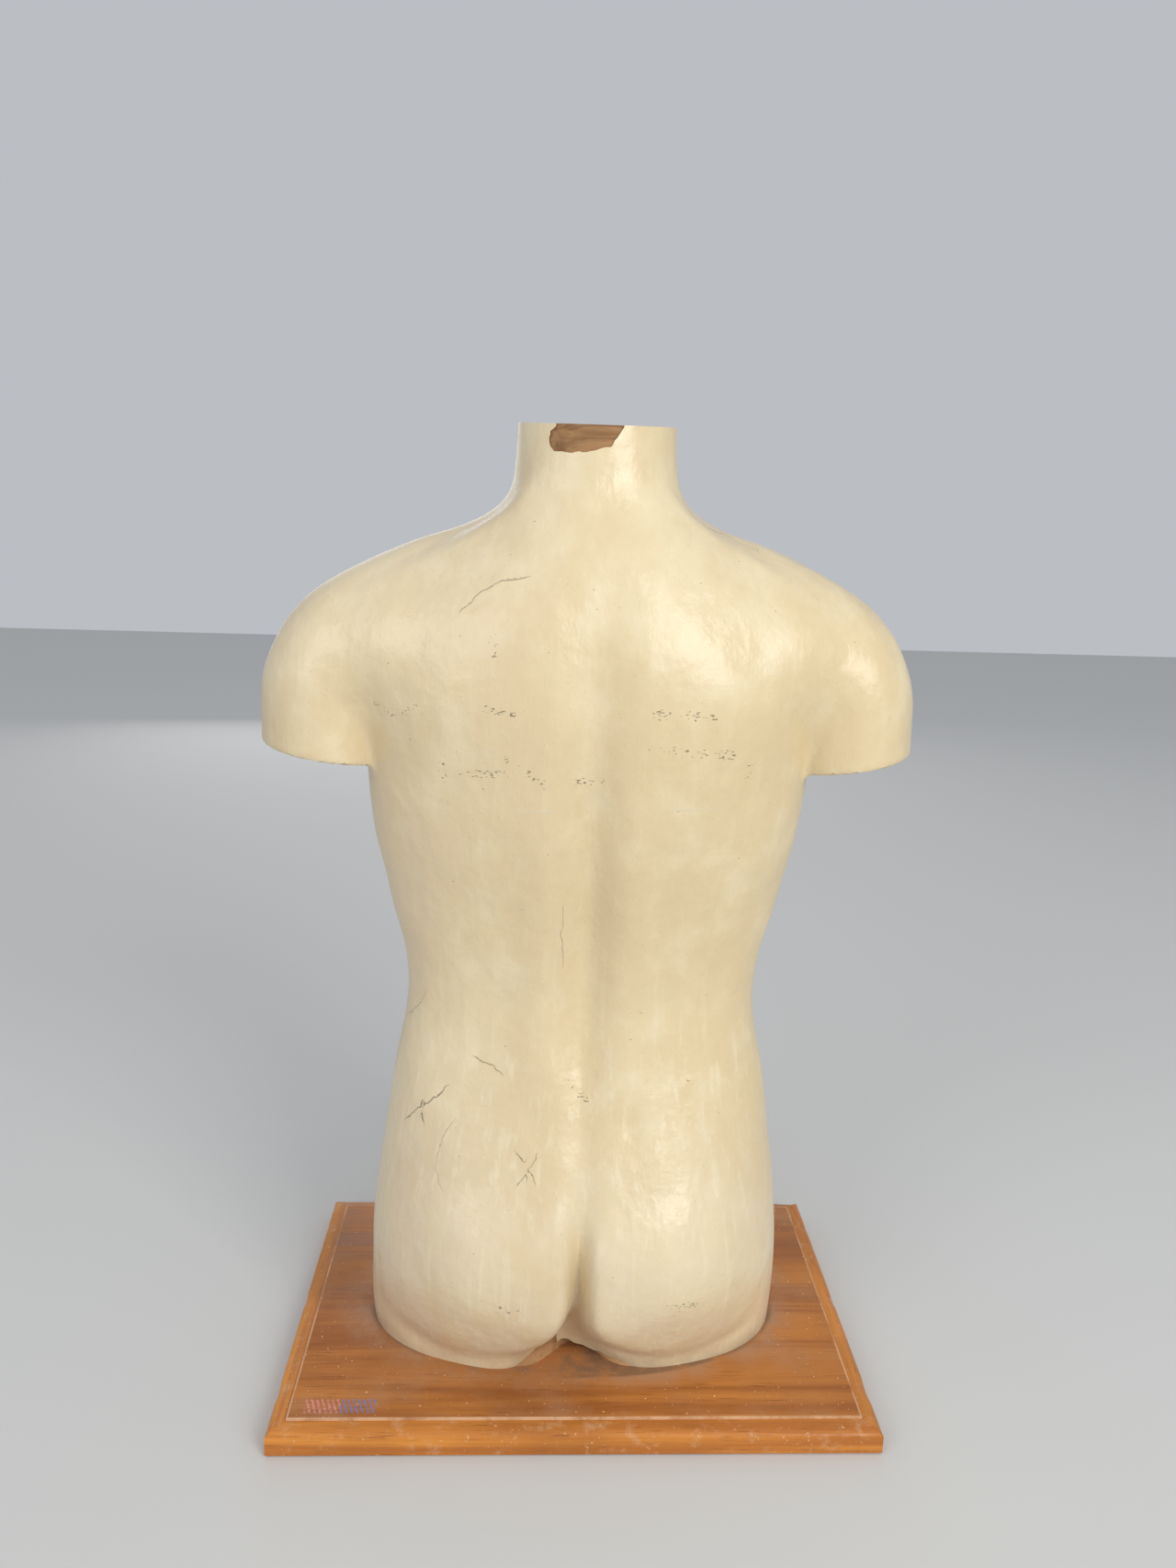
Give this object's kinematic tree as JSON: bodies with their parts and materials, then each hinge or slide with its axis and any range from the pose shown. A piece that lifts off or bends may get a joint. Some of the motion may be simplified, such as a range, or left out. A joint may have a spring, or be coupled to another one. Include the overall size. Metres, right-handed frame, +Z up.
{
  "type": "display torso",
  "caption": "Hollow lacquered papier-mache torso of a man, neck to upper thigh with short arm stumps, screwed to a wooden board with a moulded edge.",
  "frame": {"origin": "centre of the underside of the base board", "axes": "+Z up; the chest faces +Y and the back, the side that was pictured, faces -Y; +X is to the right when the back is looked at, the figure's own right side"},
  "size_m": [0.4996, 0.305, 0.7436],
  "materials": {
    "lacquered_composition": "gloss",
    "block_wood": "matte",
    "seam_paper": "matte",
    "board_wood": "satin",
    "moulding_wood": "satin",
    "steel": "satin"
  },
  "bodies": {
    "root": {"back_shell": "lacquered_composition", "front_shell": "lacquered_composition", "neck_block": "block_wood", "arm_cap_right": "block_wood", "arm_cap_left": "block_wood", "hip_plate": "block_wood", "side_seam_tape_right": "seam_paper", "side_seam_tape_left": "seam_paper", "shoulder_seam_tape_right": "seam_paper", "shoulder_seam_tape_left": "seam_paper", "base_panel": "board_wood", "moulding_back": "moulding_wood", "moulding_front": "moulding_wood", "moulding_right": "moulding_wood", "moulding_left": "moulding_wood", "base_screws": "steel", "hip_plate_brads": "steel", "neck_block_brads": "steel", "arm_cap_brads_right": "steel", "arm_cap_brads_left": "steel", "moulding_pins": "steel"}
  },
  "joints": []
}
